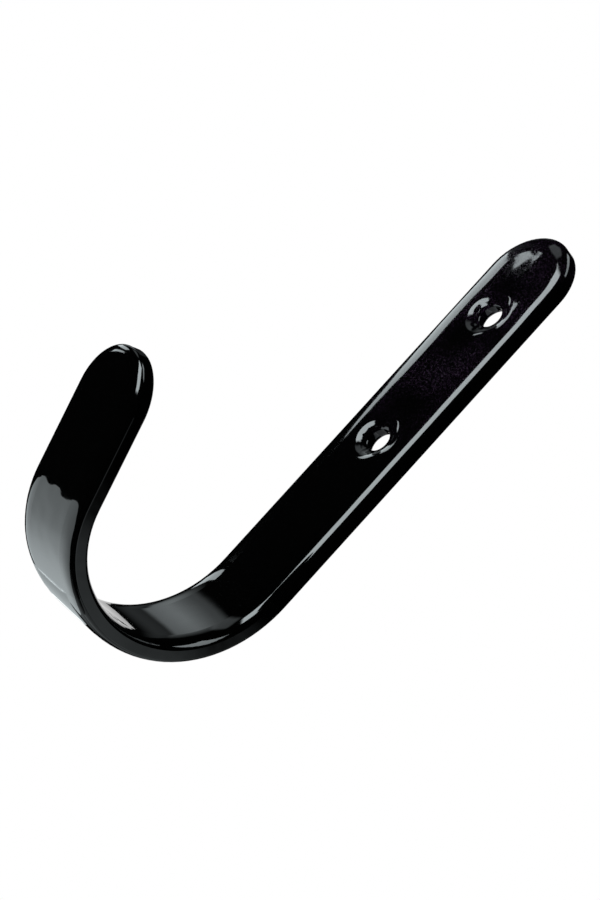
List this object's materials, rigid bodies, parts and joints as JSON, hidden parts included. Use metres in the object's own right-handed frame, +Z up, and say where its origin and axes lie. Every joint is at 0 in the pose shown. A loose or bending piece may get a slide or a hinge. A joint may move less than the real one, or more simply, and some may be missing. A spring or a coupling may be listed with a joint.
{
  "type": "stable hook",
  "caption": "J-shaped wall hook bent from one flat bar, dip-coated in thick gloss plastic, with screw holes in the long leg.",
  "frame": {"origin": "on the wall face of the long leg, midway between the two screw holes", "axes": "+Z up the long leg, +Y out of the wall face into the wall, so that the hook opens towards -Y, X across the bar"},
  "size_m": [0.022, 0.0642, 0.1253],
  "materials": {
    "black_dip_coating": "gloss black dip-coated plastic over a steel bar"
  },
  "bodies": {
    "root": {"hook": "black_dip_coating"}
  },
  "joints": []
}
